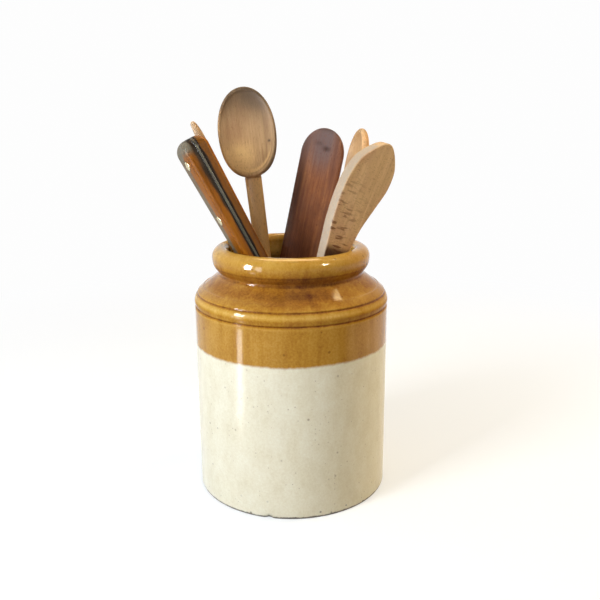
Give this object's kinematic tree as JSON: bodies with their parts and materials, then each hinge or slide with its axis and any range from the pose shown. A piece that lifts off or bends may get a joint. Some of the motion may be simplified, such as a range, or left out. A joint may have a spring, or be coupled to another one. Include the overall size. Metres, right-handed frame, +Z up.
{
  "type": "utensil crock",
  "caption": "Round stoneware crock with a rolled rim, beaded shoulder and two-tone glaze, holding a riveted knife, three carved wooden spoons and two wooden spatulas.",
  "frame": {"origin": "centre of the crock's flat base, on the surface it stands on", "axes": "+Z up along the crock's axis, -Y the front shown in the picture, +X to the right of that front"},
  "size_m": [0.1617, 0.1488, 0.307],
  "materials": {
    "glazed_stoneware": "gloss",
    "carbon_steel": "satin",
    "knife_handle_wood": "satin",
    "rivet_brass": "satin",
    "brown_wood": "matte",
    "pale_wood": "matte",
    "dark_wood": "satin",
    "beech_wood": "matte"
  },
  "bodies": {
    "crock": {"crock": "glazed_stoneware"},
    "knife": {"knife_blade": "carbon_steel", "knife_scale_left": "knife_handle_wood", "knife_scale_right": "knife_handle_wood", "knife_rivets": "rivet_brass"},
    "brown_spoon": {"brown_spoon": "brown_wood"},
    "slim_spoon": {"slim_spoon": "pale_wood"},
    "small_spoon": {"small_spoon": "pale_wood"},
    "dark_spatula": {"dark_spatula": "dark_wood"},
    "beech_spatula": {"beech_spatula": "beech_wood"}
  },
  "joints": [
    {"name": "knife_lift", "type": "slide", "parent": "crock", "child": "knife", "axis": [-0.4669, 0.0306, 0.8838], "range_m": [0, 0.212]},
    {"name": "brown_spoon_lift", "type": "slide", "parent": "crock", "child": "brown_spoon", "axis": [-0.1171, 0.1797, 0.9767], "range_m": [0, 0.192]},
    {"name": "slim_spoon_lift", "type": "slide", "parent": "crock", "child": "slim_spoon", "axis": [-0.379, 0.1567, 0.912], "range_m": [0, 0.206]},
    {"name": "small_spoon_lift", "type": "slide", "parent": "crock", "child": "small_spoon", "axis": [0.2104, -0.0007, 0.9776], "range_m": [0, 0.192]},
    {"name": "dark_spatula_lift", "type": "slide", "parent": "crock", "child": "dark_spatula", "axis": [0.2065, 0.0816, 0.975], "range_m": [0, 0.193]},
    {"name": "beech_spatula_lift", "type": "slide", "parent": "crock", "child": "beech_spatula", "axis": [0.3755, 0.0832, 0.9231], "range_m": [0, 0.203]}
  ]
}
